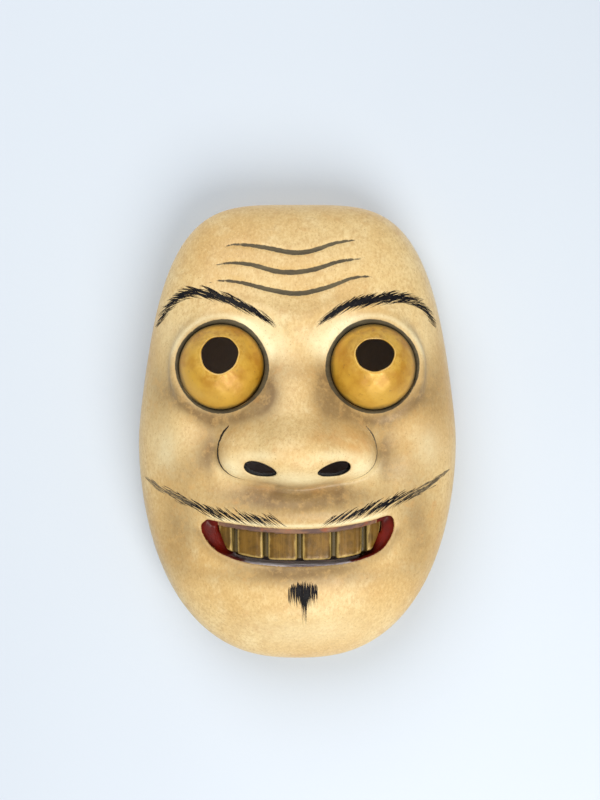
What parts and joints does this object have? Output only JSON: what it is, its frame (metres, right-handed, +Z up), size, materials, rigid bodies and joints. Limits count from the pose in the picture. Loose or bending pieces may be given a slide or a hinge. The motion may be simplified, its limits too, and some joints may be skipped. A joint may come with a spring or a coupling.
{
  "type": "noh mask",
  "caption": "Carved noh mask, hollow at the back, with domed gilt eye plates pierced by pupils, a broad nose, a grinning mouth with gilt tooth caps, and cord holes at the temples.",
  "frame": {"origin": "middle of the rear rim plane, midway up the mask and on its left-right mirror plane", "axes": "+Z up the face to the crown, -Y the way the face looks, +Y out of the hollow towards the wearer or the wall, +X the mask's own left"},
  "size_m": [0.147, 0.0772, 0.2098],
  "materials": {
    "painted_wood": "aged matt gofun paint over carved cypress, dark lacquer in the hollow",
    "gilt_eye": "gilt copper, satin, glazed with ochre",
    "gilt_tooth": "gilt copper, satin, worn bright at the edges"
  },
  "bodies": {
    "root": {"mask_shell": "painted_wood", "left_eye_plate": "gilt_eye", "right_eye_plate": "gilt_eye", "upper_tooth_1": "gilt_tooth", "upper_tooth_2": "gilt_tooth", "upper_tooth_3": "gilt_tooth", "upper_tooth_4": "gilt_tooth", "upper_tooth_5": "gilt_tooth", "upper_tooth_6": "gilt_tooth"}
  },
  "joints": []
}
